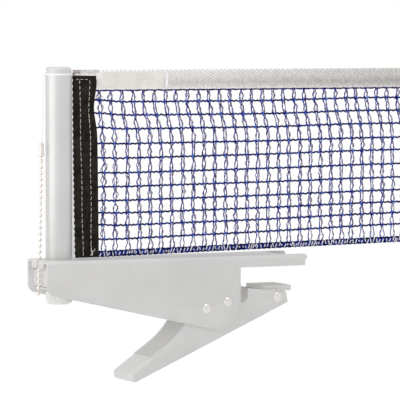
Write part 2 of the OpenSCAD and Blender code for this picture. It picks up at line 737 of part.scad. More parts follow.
// Height of string j at share u of the run: the strings fan up towards the free end
function string_z(j, u) = j == 0 ? tape_low : j == mesh_rows ? hem_top + hem_rise * u
    : tape_low - (rows_h - hem_rise * u) * (j - 0.25) / (mesh_rows - 0.35)
    - mesh_sag * exp(-pow((j / mesh_rows - 0.54) / 0.2, 2));
function string_x(i, j) = mesh_x + (net_end - mesh_x) * i / mesh_cols
    + mesh_lean * ease((j - 0.8) / 3) * ease(i / 3) * ease((mesh_cols - i) / 2);
function knot(i, j) = [string_x(i, j), string_z(j, i / mesh_cols)];

// One flat sheet with a four-sided hole for each mesh
module net_mesh() color([0.20, 0.22, 0.50]) across(mesh_t) {
    half = twine / 2;
    left = [for (z = sleeve_z) if (z > hem_top + 1 && z < tape_low - 1) [sleeve_edge(z), z]];
    edge = concat([[sleeve_edge(hem_top), hem_top]], left,
        [[sleeve_edge(tape_low), tape_low], [net_end, tape_low], [net_end, hem_top + hem_rise]]);
    holes = [for (i = [0 : mesh_cols - 1]) for (j = [0 : mesh_rows - 1])
        let (a = knot(i, j), b = knot(i + 1, j), c = knot(i + 1, j + 1), d = knot(i, j + 1),
             l = i == 0 ? 2 * half : half, r = i == mesh_cols - 1 ? 2 * half : half,
             t = j == 0 ? 2 * half : half, s = j == mesh_rows - 1 ? 2 * half : half)
        for (p = [a + [l, -t], d + [l, s], c + [-r, s], b + [-r, -t]]) p];
    polygon(concat(edge, holes), concat([[for (k = [0 : len(edge) - 1]) k]],
        [for (h = [0 : mesh_cols * mesh_rows - 1]) [for (k = [0 : 3]) len(edge) + 4 * h + k]]));
}

module net_hem() color([0.12, 0.13, 0.30]) across(2 * mesh_t)
    polygon([[sleeve_edge(hem_top), hem_top], [sleeve_edge(hem_low), hem_low],
             [net_end, hem_low + hem_rise], [net_end, hem_top + hem_rise]]);

// ---- cord and chain ----

cord_route = [[-128.5, 151], [-130.5, 151.1], [-133, 151.75], [-136, 151.95], [-142, 152],
    [-148, 152], [-151.8, 151.95], [-153.6, 151.35], [-154.6, 150.2], [-155, 148.6], [-155.1, 146],
    [-155.3, 138], [-155.6, 126], [-156, 114], [-156.5, 105], [-156.8, 98.2]];
tape_route = [for (i = [0 : 8]) [net_end + (cord_route[0][0] - net_end) * i / 8, cord_z]];

module cord(route) color([0.95, 0.95, 0.94])
    swept([for (p = route) [p[0], 0, p[1]]], cord_d / 2, 8, [0, 1, 0]);

module tape_cord() cord(tape_route);

module head_cord() cord(cord_route);

// Centre of ball k, counted up from the one locked under the hook
function ball_at(k) = [chain_x + (k > 0 ? chain_lean * k / (balls_above - 1) : 0.2 * k),
    locked_z + k * ball_pitch];

// Bell that the cord is knotted into, with the ball that joins it to the chain
module chain_coupling() color(metal_grey) translate([top_ball[0], 0, top_ball[1] + top_link]) {
    bell_d = 4.2;
    ball_z = 2.9;
    cylinder(d = 1.6, h = ball_z);
    translate([0, 0, ball_z]) sphere(d = 4.4);
    translate([0, 0, ball_z + 1]) cylinder(d = bell_d, h = 6.4);
    translate([0, 0, ball_z + 7.4]) cylinder(d1 = bell_d, d2 = 2.6, h = 1.8);
}

module ball_chain() color([0.90, 0.89, 0.87]) {
    for (k = [-balls_below : balls_above - 1]) translate([ball_at(k)[0], 0, ball_at(k)[1]])
        sphere(d = ball_d);
    for (k = [-balls_below : balls_above - 1]) {
        a = ball_at(k);
        b = k < balls_above - 1 ? ball_at(k + 1) : a + [0, top_link];
        translate([a[0], 0, a[1]]) rotate([0, atan2(b[0] - a[0], b[1] - a[1]), 0])
            cylinder(d = link_d, h = norm(b - a));
    }
}

clamp_body();
upper_liner();
pivot_pin();
anchor_pin();
pivot_washers();
spacer_sleeve();
jaw_spring();
spindle_bracket();
thrust_washer();
lever();
pad_pin();
pad_shoe();
lower_pad();
knob();
spindle();
spindle_clip();
foot_block();
post_tube();
post_plug();
foot_screws();
cap_ring();
post_cap();
net_welt();
net_sleeve();
head_tape();
tape_patch();
net_mesh();
net_hem();
tape_cord();
head_cord();
chain_coupling();
ball_chain();
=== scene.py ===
import math
import random

import bpy
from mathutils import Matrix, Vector


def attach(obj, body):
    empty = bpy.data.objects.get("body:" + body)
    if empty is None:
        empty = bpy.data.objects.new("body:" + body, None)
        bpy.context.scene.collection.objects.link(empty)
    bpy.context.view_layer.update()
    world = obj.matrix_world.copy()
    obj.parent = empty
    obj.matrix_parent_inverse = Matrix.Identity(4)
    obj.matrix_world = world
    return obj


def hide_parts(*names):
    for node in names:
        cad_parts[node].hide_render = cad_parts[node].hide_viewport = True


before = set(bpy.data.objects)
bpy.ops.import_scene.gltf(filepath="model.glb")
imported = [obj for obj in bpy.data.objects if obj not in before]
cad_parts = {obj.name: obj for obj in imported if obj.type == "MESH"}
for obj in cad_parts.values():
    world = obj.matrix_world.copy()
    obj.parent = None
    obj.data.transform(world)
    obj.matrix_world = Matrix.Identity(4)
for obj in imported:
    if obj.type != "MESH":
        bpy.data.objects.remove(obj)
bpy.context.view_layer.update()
scene = bpy.context.scene
scene.view_settings.view_transform = "Standard"
mm = 0.001  # lengths are in millimetres, unless a note says metres
print("frame loaded:", len(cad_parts), "nodes")

# place in metres, turn and tilt in degrees, lens and sensor in millimetres
cameraSetup = {"place": (-1.07613, -2.31384, 0.19165), "turn": -24.428, "tilt": 86.849, "lens": 297,
               "sensor": 36, "reach": 50}
bpy.ops.object.camera_add(location=cameraSetup["place"],
                          rotation=(math.radians(cameraSetup["tilt"]), 0, math.radians(cameraSetup["turn"])))
camera = bpy.context.object
camera.data.sensor_width = cameraSetup["sensor"]
camera.data.lens = cameraSetup["lens"]
camera.data.clip_end = cameraSetup["reach"]
scene.camera = camera


def linear(red, green, blue):
    # screen colour 0-255 to the value a shader wants
    values = []
    for level in (red, green, blue):
        share = level / 255
        values.append(share / 12.92 if share <= 0.04045 else ((share + 0.055) / 1.055) ** 2.4)
    return (*values, 1)


def ease(share):
    # 0 to 1 with a soft start and end
    share = min(max(share, 0), 1)
    return share * share * (3 - 2 * share)


def hump(value, middle, width):
    # 1 at the middle, falling away smoothly on both sides
    return math.exp(-((value - middle) / width) ** 2)


def takeUp(piece):
    # nothing else stays selected
    bpy.ops.object.select_all(action="DESELECT")
    piece.select_set(True)
    bpy.context.view_layer.objects.active = piece


def finishPiece(piece, body, material, nodes=()):
    if piece.data.materials:
        piece.data.materials[0] = material
    else:
        piece.data.materials.append(material)
    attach(piece, body)
    if nodes:
        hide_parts(*nodes)
    return piece


# angles in degrees, the merging distance in metres
meshCare = {"merge": 2e-6, "flat": 0.6, "sharp": 35, "segments": 2, "smooth": 32, "smoothCloth": 40}


def mergeFaces(piece, joinFlats=False):
    # doubles merged, flat neighbours joined, all faces turned outwards
    takeUp(piece)
    bpy.ops.object.mode_set(mode="EDIT")
    bpy.ops.mesh.select_all(action="SELECT")
    bpy.ops.mesh.remove_doubles(threshold=meshCare["merge"])
    if joinFlats:
        bpy.ops.mesh.dissolve_limited(angle_limit=math.radians(meshCare["flat"]))
    bpy.ops.mesh.normals_make_consistent(inside=False)
    bpy.ops.object.mode_set(mode="OBJECT")


def shapedGrid(name, across, along, shape):
    # a flat grid, each point carried to its place by shape(u, v) in millimetres
    bpy.ops.object.select_all(action="DESELECT")
    bpy.ops.mesh.primitive_grid_add(x_subdivisions=across, y_subdivisions=along, size=1, calc_uvs=True)
    piece = bpy.context.object
    piece.name = piece.data.name = name
    for point in piece.data.vertices:
        point.co = Vector(shape(point.co.x + 0.5, point.co.y + 0.5)) * mm
    return piece


def thicken(piece, thickness):
    # cloth gets its ply, half to each side
    takeUp(piece)
    wall = piece.modifiers.new("ply", "SOLIDIFY")
    wall.thickness = thickness * mm
    wall.offset = 0
    wall.use_even_offset = True
    bpy.ops.object.modifier_apply(modifier=wall.name)
    bpy.ops.object.shade_smooth_by_angle(angle=math.radians(meshCare["smoothCloth"]))


def roundCurve(name, runs, radius, rounding, smooth, steps=4):
    # each run is a list of points in millimetres, the middle line of a round thread
    curve = bpy.data.curves.new(name, "CURVE")
    curve.dimensions = "3D"
    curve.bevel_depth = radius * mm
    curve.bevel_resolution = rounding
    curve.resolution_u = steps
    curve.use_fill_caps = True
    for run in runs:
        spline = curve.splines.new("BEZIER" if smooth else "POLY")
        points = spline.bezier_points if smooth else spline.points
        points.add(len(run) - 1)
        for point, place in zip(points, run):
            spot = [value * mm for value in place]
            if smooth:
                point.co = spot
                point.handle_left_type = point.handle_right_type = "AUTO"
            else:
                point.co = (*spot, 1)
    piece = bpy.data.objects.new(name, curve)
    scene.collection.objects.link(piece)
    return piece


def threads(name, runs, radius, rounding=1, smooth=False):
    # round threads as one mesh
    takeUp(roundCurve(name, runs, radius, rounding, smooth))
    bpy.ops.object.convert(target="MESH")
    piece = bpy.context.object
    piece.name = piece.data.name = name
    bpy.ops.object.shade_smooth()
    return piece


def softEdgedCopy(name, node, width, joinFlats):
    # the part's own shape with its edges taken off; slot 1 is the finish on those edges, which on painted
    # parts is a paler copy of the paint, a painted highlight
    piece = bpy.data.objects.new(name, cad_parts[node].data.copy())
    piece.data.name = name
    scene.collection.objects.link(piece)
    takeUp(piece)
    bpy.ops.mesh.customdata_custom_splitnormals_clear()
    mergeFaces(piece, joinFlats)
    piece.data.materials.clear()
    piece.data.materials.append(None)
    piece.data.materials.append(None)
    edges = piece.modifiers.new("edges", "BEVEL")
    edges.width = width * mm
    edges.segments = meshCare["segments"]
    edges.limit_method = "ANGLE"
    edges.angle_limit = math.radians(meshCare["sharp"])
    edges.material = 1
    edges.miter_outer = "MITER_ARC"
    bpy.ops.object.modifier_apply(modifier=edges.name)
    bpy.ops.object.shade_smooth_by_angle(angle=math.radians(meshCare["smooth"]))
    return piece


def startMaterial(name):
    material = bpy.data.materials.new(name)
    material.use_nodes = True
    tree = material.node_tree
    spot = tree.nodes.new("ShaderNodeTexCoord").outputs["Object"]
    return material, tree, tree.nodes["Principled BSDF"], spot


def feed(tree, node, inputs):
    # a socket is linked, any other value is set
    for key, value in inputs.items():
        if isinstance(value, bpy.types.NodeSocket):
            tree.links.new(value, node.inputs[key])
        else:
            node.inputs[key].default_value = value


def addNode(tree, kind, inputs, **settings):
    made = tree.nodes.new(kind)
    for key, value in settings.items():
        setattr(made, key, value)
    feed(tree, made, inputs)
    return made


def noise(tree, spot, scale, detail=2, roughness=0.5):
    return addNode(tree, "ShaderNodeTexNoise", {"Vector": spot, "Scale": scale, "Detail": detail,
                                                "Roughness": roughness}).outputs["Fac"]


def ramp(tree, value, places, shades):
    # one shade at each place, blended between
    made = addNode(tree, "ShaderNodeValToRGB", {"Fac": value})
    marks = made.color_ramp.elements
    while len(marks) < len(places):
        marks.new(0.5)
    for mark, place, shade in zip(marks, places, shades):
        mark.position = place
        mark.color = linear(*shade)
    return made.outputs["Color"]


def spread(tree, value, low, high):
    made = addNode(tree, "ShaderNodeMapRange", {"Value": value, "To Min": low, "To Max": high})
    return made.outputs["Result"]


def maths(tree, operation, *values):
    return addNode(tree, "ShaderNodeMath", dict(enumerate(values)), operation=operation).outputs[0]


def waves(tree, value, rate):
    return maths(tree, "SINE", maths(tree, "MULTIPLY", value, rate))


def axes(tree, spot):
    return addNode(tree, "ShaderNodeSeparateXYZ", {"Vector": spot}).outputs


def threadRun(tree, spot):
    # grows along a thread whichever way it runs
    parts = axes(tree, spot)
    return maths(tree, "ADD", maths(tree, "ADD", parts["X"], parts["Z"]), parts["Y"])


def bump(tree, height, depth, strength, under=None):
    # depth in millimetres; under is the bump that this one lies on
    inputs = {"Height": height, "Distance": depth * mm, "Strength": strength}
    if under is not None:
        inputs["Normal"] = under
    return addNode(tree, "ShaderNodeBump", inputs).outputs["Normal"]


def powderCoat(name, look, cloudScale=28, wearScale=160):
    material, tree, shader, spot = startMaterial(name)
    feed(tree, shader, {
        "Base Color": ramp(tree, noise(tree, spot, cloudScale, 3), (0.35, 0.65), look["shades"]),
        "Roughness": spread(tree, noise(tree, spot, wearScale), look["rough"] - 0.05, look["rough"] + 0.06),
        "Normal": bump(tree, noise(tree, spot, look["grain"], 3, 0.6), look["depth"], 0.6),
        "Metallic": look.get("metal", 0),
        "Specular IOR Level": 0.4,
    })
    return material


def platedMetal(name, look, wearScale=420):
    material, tree, shader, spot = startMaterial(name)
    streak = noise(tree, spot, look["scale"], 4, 0.6)
    feed(tree, shader, {
        "Base Color": ramp(tree, streak, (0.3, 0.7), look["shades"]),
        "Roughness": spread(tree, noise(tree, spot, wearScale), look["rough"] - 0.06, look["rough"] + 0.08),
        "Normal": bump(tree, streak, look["depth"], 0.5),
        "Metallic": look.get("metal", 0.9),
    })
    return material


def rubberFinish(name, look, cloudScale=60):
    material, tree, shader, spot = startMaterial(name)
    pits = addNode(tree, "ShaderNodeTexVoronoi", {"Vector": spot, "Scale": look["pits"]}).outputs["Distance"]
    feed(tree, shader, {
        "Base Color": ramp(tree, noise(tree, spot, cloudScale, 4), (0.3, 0.7), look["shades"]),
        "Normal": bump(tree, pits, look["depth"], 0.5),
        "Roughness": look["rough"],
        "Specular IOR Level": 0.3,
    })
    return material


def mouldedPlastic(name, look, cloudScale=45, wearScale=300):
    material, tree, shader, spot = startMaterial(name)
    feed(tree, shader, {
        "Base Color": ramp(tree, noise(tree, spot, cloudScale), (0.3, 0.7), look["shades"]),
        "Roughness": spread(tree, noise(tree, spot, wearScale), look["rough"] - 0.04, look["rough"] + 0.06),
        "Normal": bump(tree, noise(tree, spot, look["grain"]), look["depth"], 0.4),
        "Subsurface Weight": look.get("soft", 0),
        "Subsurface Scale": 0.002,
    })
    return material


# the looks for edges are paler, glossier copies of the paints before them: a painted highlight on the
# bevelled edges
coatLooks = {
    "shellPaint": {"shades": ((199, 198, 197), (205, 204, 203)), "rough": 0.5, "grain": 1500, "depth": 0.05},
    "shellEdgeHighlight": {"shades": ((208, 207, 206), (214, 213, 212)), "rough": 0.42, "grain": 1100, "depth": 0.03},
    "castPaint": {"shades": ((200, 199, 198), (207, 206, 205)), "rough": 0.58, "grain": 700, "depth": 0.06},
    "castEdgeHighlight": {"shades": ((211, 210, 209), (218, 217, 216)), "rough": 0.45, "grain": 900, "depth": 0.04},
    "postPaint": {"shades": ((199, 199, 198), (203, 203, 202)), "rough": 0.36, "grain": 900, "depth": 0.01,
                  "metal": 0.3},
    "postEdgeHighlight": {"shades": ((224, 224, 223), (230, 230, 229)), "rough": 0.3, "grain": 900, "depth": 0.01},
}
metalLooks = {
    "platedSteel": {"shades": ((196, 194, 190), (222, 220, 216)), "scale": 500, "rough": 0.26, "depth": 0.01},
    "rivetSteel": {"shades": ((205, 203, 198), (232, 230, 226)), "scale": 700, "rough": 0.2, "depth": 0.012,
                   "metal": 0.85},
    "springSteel": {"shades": ((150, 149, 147), (186, 184, 180)), "scale": 900, "rough": 0.3, "depth": 0.012},
    "knobMetal": {"shades": ((206, 205, 203), (224, 223, 221)), "scale": 800, "rough": 0.5, "depth": 0.02,
                  "metal": 0.05},
    "chainMetal": {"shades": ((212, 203, 196), (242, 236, 231)), "scale": 1200, "rough": 0.2, "depth": 0.006,
                   "metal": 0.7},
}
rubberLook = {"shades": ((194, 193, 191), (206, 205, 203)), "pits": 1600, "depth": 0.05, "rough": 0.75}
plasticLooks = {
    "capPlastic": {"shades": ((199, 199, 198), (205, 205, 204)), "rough": 0.42, "grain": 1800, "depth": 0.02},
    "ringPlastic": {"shades": ((236, 236, 236), (241, 241, 241)), "rough": 0.25, "grain": 900,
                    "depth": 0.006},
    "washerPlastic": {"shades": ((214, 212, 206), (224, 222, 216)), "rough": 0.45, "grain": 1400,
                      "depth": 0.015, "soft": 0.1},
}
paleRubber = rubberFinish("paleRubber", rubberLook)
coats = {name: powderCoat(name, look) for name, look in coatLooks.items()}
metals = {name: platedMetal(name, look) for name, look in metalLooks.items()}
plastics = {name: mouldedPlastic(name, look) for name, look in plasticLooks.items()}
print("hard finishes ready")

# white cord, free from the tape's end over the cap to the chain
cordSetup = {
    "radius": 0.8, "shades": ((242, 241, 239), (253, 253, 252)), "lay": 5200, "tapeEnd": 157, "step": 6,
    "route": [(-128.5, 151), (-130.5, 151.1), (-133, 151.75), (-136, 151.95), (-142, 152), (-148, 152),
              (-151.8, 151.95), (-153.6, 151.35), (-154.6, 150.2), (-155, 148.6), (-155.1, 146),
              (-155.3, 138), (-155.6, 126), (-156, 114), (-156.5, 105), (-156.8, 98.2)],
}


def cordFinish(name, look):
    material, tree, shader, spot = startMaterial(name)
    strands = waves(tree, threadRun(tree, spot), look["lay"])
    feed(tree, shader, {
        "Base Color": ramp(tree, strands, (0.1, 0.7), look["shades"]),
        "Normal": bump(tree, strands, 0.06, 0.5),
        "Roughness": 0.8,
        "Sheen Weight": 0.2,
    })
    return material


whiteCord = cordFinish("whiteCord", cordSetup)
cordRoute, cordRadius = cordSetup["route"], cordSetup["radius"]


def makeHeadCord():
    run = [(x, 0, z) for x, z in cordRoute]
    piece = roundCurve("headCord", [run], cordRadius, rounding=3, smooth=True, steps=8)
    finishPiece(piece, "post", whiteCord, ["head_cord"])


def makeTapeCord():
    # the same cord inside the tape, straight from the cut end to where it comes out
    leaveX, leaveZ = cordRoute[0]
    run = [(x, 0, leaveZ) for x in range(cordSetup["tapeEnd"], math.floor(leaveX), -cordSetup["step"])]
    piece = threads("tapeCord", [run + [(leaveX, 0, leaveZ)]], cordRadius, rounding=2)
    finishPiece(piece, "post", whiteCord, ["tape_cord"])


makeHeadCord()
makeTapeCord()
print("cord in place")

# pressed and cast parts: piece, node, bevel width, body, slot, finish of the faces, finish of the edges
hardParts = [
    ("shellBody", "clamp_body", 0.3, "clamp", "shell_paint", coats["shellPaint"], coats["shellEdgeHighlight"]),
    ("leverArm", "lever", 0.3, "lever_arm", "shell_paint", coats["shellPaint"], coats["shellEdgeHighlight"]),
    ("footBlock", "foot_block", 0.25, "post", "cast_shell", coats["castPaint"], coats["castEdgeHighlight"]),
    ("bracket", "spindle_bracket", 0.2, "clamp", "plated_steel", coats["castPaint"], coats["castEdgeHighlight"]),
    ("padShoe", "pad_shoe", 0.2, "pad", "plated_steel", metals["platedSteel"], metals["platedSteel"]),
    ("postTube", "post_tube", 0.2, "post", "post_paint", coats["postPaint"], coats["postEdgeHighlight"]),
    ("capTop", "post_cap", 0.2, "post", "cap_plastic", plastics["capPlastic"], plastics["capPlastic"]),
    ("capRing", "cap_ring", 0.3, "post", "white_ring", plastics["ringPlastic"], plastics["ringPlastic"]),
    ("upperPad", "upper_liner", 0.25, "clamp", "pale_rubber", paleRubber, paleRubber),
    ("lowerPad", "lower_pad", 0.25, "pad", "pale_rubber", paleRubber, paleRubber),
]
# on the painted parts the finish of the edges is paler than that of the faces: a painted highlight
for name, node, width, body, slotName, face, edge in hardParts:
    # only the lever keeps its flat faces as they come
    part = softEdgedCopy(name, node, width, node != "lever")
    finishPiece(part, body, face, [node])
    part.data.materials[1] = edge

# small parts that keep their own shape and slot, and only get a finish
smallParts = [
    (metals["rivetSteel"], ("pivot_pin", "anchor_pin", "pad_pin")),
    (metals["platedSteel"], ("spacer_sleeve", "spindle", "post_plug", "foot_screws")),
    (metals["springSteel"], ("spindle_clip",)),
    (metals["knobMetal"], ("knob",)),
    (metals["chainMetal"], ("chain_coupling", "ball_chain")),
    (plastics["washerPlastic"], ("pivot_washers", "thrust_washer")),
]
for finish, nodes in smallParts:
    for node in nodes:
        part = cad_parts[node]
        part.data.materials.clear()
        part.data.materials.append(finish)
print("hard parts finished")

# jaw spring, one round wire
springSetup = {
    "wire": 1.6, "coilRadius": 6.2, "turns": 3, "turnSteps": 8, "pitch": 2.2, "bowHalf": 5.6, "bowCorner": 3,
    "pivot": (-10.4, -26.1), "anchor": (-28.2, -30.8), "padPin": (33.4, -24.1), "pinGap": 3.4,
    "tip": ((5.5, 1.2), (3.5, 0.2)), "legSag": 0.3, "bowStart": 8, "bowDrop": 0.16,
}


def springPath(setup):
    # one half from the leg's tip round the coil to the middle of the bow, then its mirror image
    px, pz = setup["pivot"]
    ax, az = setup["anchor"]
    bx, bz = setup["padPin"]
    half, steps, corner = setup["bowHalf"], setup["turnSteps"], setup["bowCorner"]
    legZ, bowZ, low = az - setup["pinGap"], bz - setup["pinGap"], pz - setup["coilRadius"]
    legY = -half - setup["turns"] * setup["pitch"]
    path = [(ax - back, legY, legZ + rise) for back, rise in setup["tip"]]
    path += [(ax, legY, legZ), ((ax + px) / 2, legY, (legZ + low) / 2 - setup["legSag"])]
    for step in range(steps * setup["turns"] + 1):
        angle = math.radians(360 / steps * step - 90)
        path.append((px + setup["coilRadius"] * math.cos(angle), legY + setup["pitch"] * step / steps,
                     pz + setup["coilRadius"] * math.sin(angle)))
    path += [(px + setup["bowStart"], -half, low + (bowZ - low) * setup["bowDrop"]),
             ((px + bx) / 2, -half, (bowZ + low) / 2), (bx - corner, -half, bowZ),
             (bx - 0.3 * corner, -half + 0.3 * corner, bowZ), (bx, -half + corner, bowZ)]
    return path + [(x, -y, z) for x, y, z in reversed(path)]


jawSpring = threads("jawSpring", [springPath(springSetup)], springSetup["wire"] / 2, rounding=3, smooth=True)
finishPiece(jawSpring, "clamp", metals["springSteel"], ["jaw_spring"])
print("spring wound")

# measures that the net's pieces share
netSetup = {"low": 10.2, "tapeLow": 137.5, "end": 158}


def clothFinish(name, look, weaveShare=0.12, lintScale=2400):
    material, tree, shader, spot = startMaterial(name)
    parts = axes(tree, spot)
    weft, warp = waves(tree, parts["Z"], look["weave"]), waves(tree, parts["X"], look["weave"])
    weave = maths(tree, "MULTIPLY", weft, warp)
    worn = noise(tree, spot, look["patches"], 5, 0.65)
    cloud = maths(tree, "ADD", maths(tree, "MULTIPLY", weave, weaveShare), worn)
    lint = bump(tree, noise(tree, spot, lintScale), 0.05, 0.5)
    feed(tree, shader, {
        "Base Color": ramp(tree, cloud, (0.3, 0.72), look["shades"]),
        "Normal": bump(tree, weave, look["depth"], 0.7, lint),
        "Roughness": look["rough"],
        "Specular IOR Level": look.get("gloss", 0.25),
        "Sheen Weight": look["sheen"],
        "Sheen Roughness": 0.5,
    })
    return material


# black sleeve, drawn in along its two seams and in the upper part of its right edge
sleeveSetup = {
    "left": -131.6, "standOff": 0.6, "standOffFoot": 1.2, "scallop": 4.6, "scallopDepth": 0.36,
    "right": -111.4, "flare": 1.2, "slant": 0.01, "waist": 2.6, "waistZ": 123.5, "waistHeight": 13,
    "top": 148.2, "half": 1.0, "ripple": 0.06, "ripplePace": 3.1, "face": 0.44, "ply": 0.8,
    "pull": 0.22, "pullWidth": 0.9,
    "seams": ({"top": -125.9, "drift": 2.7, "waist": 0, "phase": 0},
              {"top": -117.3, "drift": 0.8, "waist": 1.2, "phase": 2}),
    "seamWaistZ": 122, "seamWaistHeight": 14, "wander": 0.2, "wanderPace": 9,
    "shades": ((13, 11, 9), (50, 46, 41)), "weave": 9000, "patches": 170, "depth": 0.05,
    "rough": 0.9, "sheen": 0.03, "gloss": 0.07,
}


def sleeveEdge(z):
    # the right edge, from which the net, the tape and the hem start
    setup = sleeveSetup
    waist = setup["waist"] * hump(z, setup["waistZ"], setup["waistHeight"])
    return setup["right"] + setup["flare"] - setup["slant"] * z - waist


def netShare(x):
    # 0 at the sleeve to 1 at the section's end
    return (x - sleeveSetup["right"]) / (netSetup["end"] - sleeveSetup["right"])


def seamX(row, z):
    setup = sleeveSetup
    seam = setup["seams"][row]
    share = (setup["top"] - z) / (setup["top"] - netSetup["low"])
    waist = seam["waist"] * hump(z, setup["seamWaistZ"], setup["seamWaistHeight"])
    wander = setup["wander"] * math.sin(z / setup["wanderPace"] + seam["phase"])
    return seam["top"] + seam["drift"] * share - waist + wander


def folded(u, face):
    # where u lies on a folded sheet: near face -1, far face 1 or the turn between them 0, and how far on it
    if u <= face:
        return -1, u / face
    if u >= 1 - face:
        return 1, (1 - u) / face
    return 0, (u - face) / (1 - 2 * face)


def sleeveShape(u, v):
    setup = sleeveSetup
    z = netSetup["low"] + (setup["top"] - netSetup["low"]) * v
    half = setup["half"] + setup["ripple"] * math.sin(z / setup["ripplePace"])
    # the left edge stands off from the post towards its foot, in small scallops
    down = 1 - v
    left = setup["left"] + setup["standOff"] * down + setup["standOffFoot"] * down ** 2
    left += setup["scallopDepth"] * (1 - math.cos(2 * math.pi * z / setup["scallop"]))
    right = sleeveEdge(z)
    side, share = folded(u, setup["face"])
    if not side:
        turn = math.pi * share
        return left + half - half * math.sin(turn), -half * math.cos(turn), z
    x = right + (left + half - right) * share
    y = side * half
    for row in (0, 1):
        y -= side * setup["pull"] * hump(x, seamX(row, z), setup["pullWidth"])
    return x, y, z


sleeve = shapedGrid("netSleeve", 40, 180, sleeveShape)
thicken(sleeve, sleeveSetup["ply"])
finishPiece(sleeve, "post", clothFinish("sleeveCloth", sleeveSetup), ["net_sleeve"])

stitchSetup = {
    "radius": 0.235, "pitch": 4.2, "length": 3.2, "lean": 0.25, "first": 144.8, "last": (13.4, 21),
    "sink": 0.95, "rise": 1.55, "crossZ": 145.4, "crossFrom": -128.9, "crossTo": -119, "crossPitch": 3.6,
    "looseEnds": 7, "looseZ": 14,
    "shades": ((150, 145, 136), (238, 236, 230)), "weave": 14000, "patches": 420, "depth": 0.03,
    "rough": 0.85, "sheen": 0.1,
}


def makeStitches():
    dice = random.Random(4)
    setup = stitchSetup
    runs = []
    for side in (-1, 1):
        under, over = side * setup["sink"], side * setup["rise"]
        for row, last in enumerate(setup["last"]):
            z = setup["first"]
            while z > last:
                lean = dice.uniform(-setup["lean"], setup["lean"])
                x = seamX(row, z)
                length = setup["length"] * dice.uniform(0.85, 1.1)
                runs.append([(x - lean, under, z), (x - lean / 2, over, z - 0.25 * length),
                             (x + lean / 2, over, z - 0.75 * length), (x + lean, under, z - length)])
                z -= setup["pitch"]
        # a short row across the top
        x, z = setup["crossFrom"], setup["crossZ"]
        while x < setup["crossTo"]:
            runs.append([(x, under, z), (x + 0.7, over, z + 0.1), (x + 2.1, over, z + 0.1),
                         (x + 2.8, under, z)])
            x += setup["crossPitch"]
    # loose thread ends at the foot of the second seam
    foot = seamX(1, setup["looseZ"])
    for _ in range(setup["looseEnds"]):
        a, b = dice.uniform(-1, 1), dice.uniform(-1, 1)
        runs.append([(foot, -1.3, 16 + a), (foot + 0.6 * a, -1.9, 14.5 + b), (foot + 1.5 * b, -1.8, 13.2 - a),
                     (foot + 1.2 * a, -1.5, 11.5 + 0.5 * b)])
    runs.append([(foot - 0.2, -1.4, 20), (foot, -1.7, 17.5), (foot + 0.2, -1.8, 15), (foot + 1, -1.7, 14.2),
                 (foot + 2.6, -1.9, 15.6), (foot + 3, -1.8, 16.8)])
    return threads("sleeveStitches", runs, setup["radius"])


stitches = makeStitches()
finishPiece(stitches, "post", clothFinish("stitchThread", stitchSetup))

# welt: cloth round a core in the post, its two edges laid together as the flag that runs into the sleeve
weltSetup = {
    "core": 2.6, "coreX": -136.85, "flag": 0.7, "right": -127.5, "ply": 0.5, "face": 0.22, "ripple": 0.04,
    "inner": 2.0, "innerLow": 11, "innerTop": 149, "innerStep": 8,
    "shades": ((226, 226, 226), (246, 246, 246)), "weave": 11000, "patches": 240, "depth": 0.04,
    "rough": 0.7, "sheen": 0.1,
}
weltCloth = clothFinish("weltCloth", weltSetup)


def weltShape(u, v):
    setup = weltSetup
    z = netSetup["low"] + (sleeveSetup["top"] - netSetup["low"]) * v
    radius = setup["core"] - setup["ply"] / 2
    flag = setup["flag"] - setup["ply"] / 2
    start = math.asin(flag / radius)
    neck = setup["coreX"] + radius * math.cos(start)
    side, share = folded(u, setup["face"])
    if side:
        ripple = setup["ripple"] * math.sin(2 * math.pi * z / sleeveSetup["scallop"])
        return setup["right"] + (neck - setup["right"]) * share, side * (flag + ripple), z
    turn = start + (2 * math.pi - 2 * start) * share
    return setup["coreX"] + radius * math.cos(turn), -radius * math.sin(turn), z


welt = shapedGrid("netWelt", 36, 70, weltShape)
thicken(welt, weltSetup["ply"])
finishPiece(welt, "post", weltCloth, ["net_welt"])
coreHeights = range(weltSetup["innerLow"], weltSetup["innerTop"], weltSetup["innerStep"])
coreRun = [(weltSetup["coreX"], 0, z) for z in coreHeights]
weltCore = threads("weltCore", [coreRun], weltSetup["inner"], rounding=4)
finishPiece(weltCore, "post", weltCloth)
print("sleeve, welt and stitches sewn")

# head tape: flat at its lower edge, fuller towards the cord, with a rolled top
tapeSetup = {
    "start": -130.3, "roll": 2.0, "rollZ": 150.5, "flat": 0.8, "taperLow": 140, "ply": 0.45, "face": 0.36,
    # the darker band's height and the darkening to the right are painted shade
    "shades": ((142, 138, 135), (250, 248, 246)), "twill": 1650, "band": 7.2, "slant": 1.8, "paintedShadeZ": 142.6,
    "paintedShade": 1.2, "rough": 0.8, "tuck": 0.4, "waver": 0.18, "waverPace": 1.4, "waverHeight": 0.3,
}


